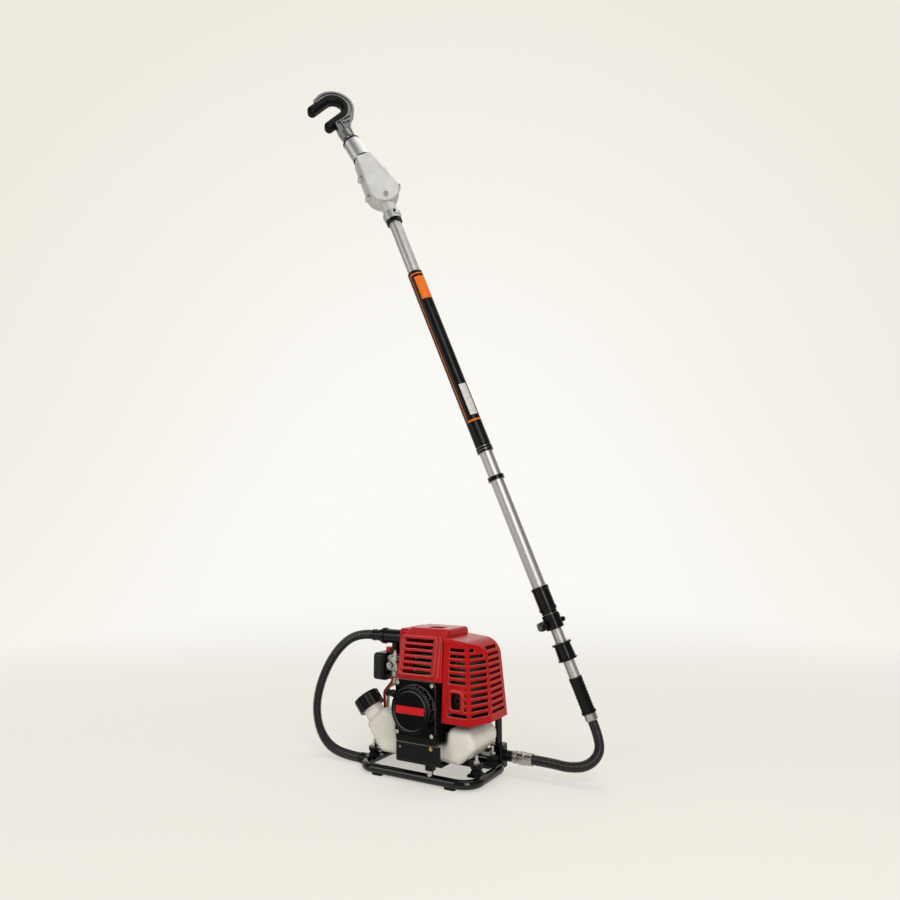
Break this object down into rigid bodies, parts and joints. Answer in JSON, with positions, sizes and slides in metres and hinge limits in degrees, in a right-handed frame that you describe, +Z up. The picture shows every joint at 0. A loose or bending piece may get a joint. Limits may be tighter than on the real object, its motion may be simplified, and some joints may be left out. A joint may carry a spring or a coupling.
{
  "type": "petrol olive harvester",
  "caption": "Petrol olive harvester: a small two-stroke engine on a tubular floor hoop drives, through a flexible hose, a telescopic pole with a shaking lined hook.",
  "frame": {"origin": "on the floor under the middle of the hoop", "axes": "+X to the right with the recoil starter in front, +Y to the back, +Z up"},
  "size_m": [0.7802, 0.2798, 1.9029],
  "materials": {
    "frame_black": "satin black powder coat",
    "rubber_black": "matt black rubber",
    "zinc_steel": "bright zinc plate",
    "cast_aluminium": "bead-blasted casting",
    "pole_aluminium": "drawn tube, satin",
    "black_plastic": "fine-grained black nylon",
    "red_plastic": "moulded red plastic",
    "muffler_steel": "heat-stained sheet steel",
    "hose_black": "black rubber hose",
    "tank_white": "translucent natural polyethylene",
    "clear_hose": "clear fuel hose",
    "brass": "turned bronze bush",
    "sleeve_plastic": "black film sleeve with plain orange and white fields"
  },
  "bodies": {
    "frame": {"base_hoop": "frame_black", "rubber_mounts": "rubber_black", "studs_and_screws": "zinc_steel", "rear_bar": "frame_black", "frame_fittings": "frame_black", "engine_cradle": "frame_black", "crankcase": "cast_aluminium", "cylinder": "cast_aluminium", "ignition_parts": "black_plastic", "fan_housing": "black_plastic", "starter_housing": "black_plastic", "engine_cowl": "red_plastic", "muffler_guard": "red_plastic", "muffler": "muffler_steel", "intake_manifold": "black_plastic", "carburettor": "cast_aluminium", "air_filter_base": "black_plastic", "air_filter_cover": "black_plastic", "intake_elbow": "black_plastic", "hose_union": "zinc_steel", "intake_hose": "hose_black", "fuel_tank": "tank_white", "fuel_lines": "clear_hose", "clutch_housing": "cast_aluminium", "rear_drive_hose": "hose_black", "coupling_socket": "zinc_steel"},
    "crank": {"crankshaft": "zinc_steel", "flywheel_fan": "cast_aluminium"},
    "piston": {"piston": "cast_aluminium"},
    "clutch": {"clutch_drum": "zinc_steel"},
    "reel": {"starter_reel": "black_plastic"},
    "pull_handle": {"starter_handle": "black_plastic"},
    "throttle": {"throttle_lever": "zinc_steel"},
    "choke": {"choke_knob": "red_plastic"},
    "tank_cap": {"fuel_cap": "black_plastic"},
    "collar": {"coupling_collar": "zinc_steel"},
    "pole": {"hose_fittings": "zinc_steel", "drive_hose": "hose_black", "inner_tube": "pole_aluminium", "lower_grips": "black_plastic", "inner_tube_bushes": "brass"},
    "lower_shaft": {"lower_shaft": "zinc_steel"},
    "head": {"outer_tube": "pole_aluminium", "telescope_clamp": "black_plastic", "collars_and_seals": "black_plastic", "label_sleeve": "sleeve_plastic", "upper_shaft_bushes": "brass", "gearbox_front": "cast_aluminium", "gearbox_rear": "cast_aluminium", "gearbox_screws": "zinc_steel", "gearbox_collar": "cast_aluminium", "plunger_guide": "cast_aluminium", "guide_bush": "brass"},
    "clamp_knob": {"clamp_knob": "black_plastic"},
    "upper_shaft": {"upper_shaft": "zinc_steel"},
    "crank_gear": {"crank_gear": "zinc_steel"},
    "hook": {"plunger": "zinc_steel", "head_rod": "zinc_steel", "hook_casting": "cast_aluminium", "hook_liner": "rubber_black"}
  },
  "joints": [
    {"name": "crankshaft_turn", "type": "hinge", "parent": "frame", "child": "crank", "pos_m": [0.017, 0, 0.173], "axis": [0, 1, 0], "continuous": true},
    {"name": "piston_stroke", "type": "slide", "parent": "frame", "child": "piston", "axis": [0, 0, 1], "range_m": [-0.034, 0]},
    {"name": "clutch_drum_turn", "type": "hinge", "parent": "frame", "child": "clutch", "pos_m": [0.017, 0.07, 0.173], "axis": [0, 1, 0], "continuous": true},
    {"name": "starter_reel_turn", "type": "hinge", "parent": "frame", "child": "reel", "pos_m": [0.017, -0.1195, 0.173], "axis": [0, 1, 0], "range_deg": [-161, 0], "stiffness_Nm_per_rad": 0.12},
    {"name": "starter_pull", "type": "slide", "parent": "frame", "child": "pull_handle", "axis": [-1, 0, 0], "range_m": [0, 0.09]},
    {"name": "throttle_turn", "type": "hinge", "parent": "frame", "child": "throttle", "pos_m": [-0.091, -0.038, 0.264], "axis": [0, 1, 0], "range_deg": [0, 40], "stiffness_Nm_per_rad": 0.05},
    {"name": "choke_turn", "type": "hinge", "parent": "frame", "child": "choke", "pos_m": [-0.12555, -0.014, 0.289], "axis": [0, 0, 1], "range_deg": [0, 90]},
    {"name": "fuel_cap_turn", "type": "hinge", "parent": "frame", "child": "tank_cap", "pos_m": [-0.13362, -0.052, 0.12743], "axis": [-0.6428, 0, 0.766], "continuous": true},
    {"name": "coupling_collar_slide", "type": "slide", "parent": "frame", "child": "collar", "axis": [-1, 0, 0], "range_m": [0, 0.006], "stiffness_N_per_m": 400},
    {"name": "pole_swivel", "type": "hinge", "parent": "frame", "child": "pole", "pos_m": [0.241, 0.0777, 0.042], "axis": [1, 0, 0], "range_deg": [-15, 15]},
    {"name": "lower_shaft_turn", "type": "hinge", "parent": "pole", "child": "lower_shaft", "pos_m": [0.386, 0.096, 0.149], "axis": [-0.3493, -0.0936, 0.9323], "continuous": true},
    {"name": "pole_extension", "type": "slide", "parent": "pole", "child": "head", "axis": [-0.3493, -0.0936, 0.9323], "range_m": [-0.025, 0.4]},
    {"name": "upper_shaft_turn", "type": "hinge", "parent": "head", "child": "upper_shaft", "pos_m": [0.0367, 0.0024, 1.08132], "axis": [-0.3493, -0.0936, 0.9323], "continuous": true},
    {"name": "crank_gear_turn", "type": "hinge", "parent": "head", "child": "crank_gear", "pos_m": [-0.14669, -0.04673, 1.57079], "axis": [-0.6513, 0.7396, -0.1698], "continuous": true},
    {"name": "hook_stroke", "type": "slide", "parent": "head", "child": "hook", "axis": [-0.461, -0.2079, 0.8627], "range_m": [0, 0.04]},
    {"name": "clamp_knob_turn", "type": "hinge", "parent": "head", "child": "clamp_knob", "pos_m": [0.28647, 0.04555, 0.36407], "axis": [-0.6513, 0.7396, -0.1698], "continuous": true}
  ],
  "couplings": [
    {"joint": "starter_pull", "follows": "starter_reel_turn", "m_per_rad": -0.032},
    {"joint": "lower_shaft_turn", "follows": "clutch_drum_turn", "ratio": 1},
    {"joint": "upper_shaft_turn", "follows": "clutch_drum_turn", "ratio": 1},
    {"joint": "crank_gear_turn", "follows": "clutch_drum_turn", "ratio": 0.28571}
  ]
}
